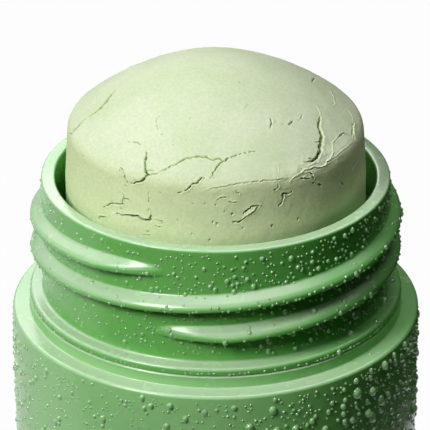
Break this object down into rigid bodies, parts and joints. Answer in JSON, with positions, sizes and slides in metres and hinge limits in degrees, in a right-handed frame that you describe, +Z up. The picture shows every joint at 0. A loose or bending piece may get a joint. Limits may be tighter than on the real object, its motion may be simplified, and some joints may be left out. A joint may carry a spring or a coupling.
{
  "type": "twist-up clay mask stick",
  "caption": "Round twist-up stick: a domed plug of cracked green clay stands out of a threaded neck, and a fluted dial at the base winds it up and down on a lead screw.",
  "frame": {"origin": "centre of the dial's underside, on the stick's axis", "axes": "+Z up along the stick's axis, -Y towards the front"},
  "size_m": [0.04, 0.04, 0.0777],
  "materials": {
    "body_plastic": "semi-gloss moulded green polypropylene",
    "neck_plastic": "semi-gloss moulded green polypropylene",
    "dial_plastic": "semi-gloss moulded green polypropylene",
    "screw_plastic": "natural white moulded plastic",
    "carrier_plastic": "satin moulded green polypropylene",
    "green_clay": "dry pale green clay with drying cracks and chips",
    "water": "clear water drops"
  },
  "bodies": {
    "container": {"outer_shell": "body_plastic", "inner_tube": "neck_plastic"},
    "dial": {"base_dial": "dial_plastic", "lead_screw": "screw_plastic"},
    "stick": {"carrier": "carrier_plastic", "clay_stick": "green_clay"}
  },
  "joints": [
    {"name": "dial_turn", "type": "hinge", "parent": "container", "child": "dial", "pos_m": [0, 0, 0], "axis": [0, 0, 1], "range_deg": [-1080, 2250]},
    {"name": "stick_lift", "type": "slide", "parent": "container", "child": "stick", "axis": [0, 0, 1], "range_m": [-0.012, 0.025]}
  ],
  "couplings": [
    {"joint": "dial_turn", "follows": "stick_lift", "rad_per_m": 1570.8}
  ]
}
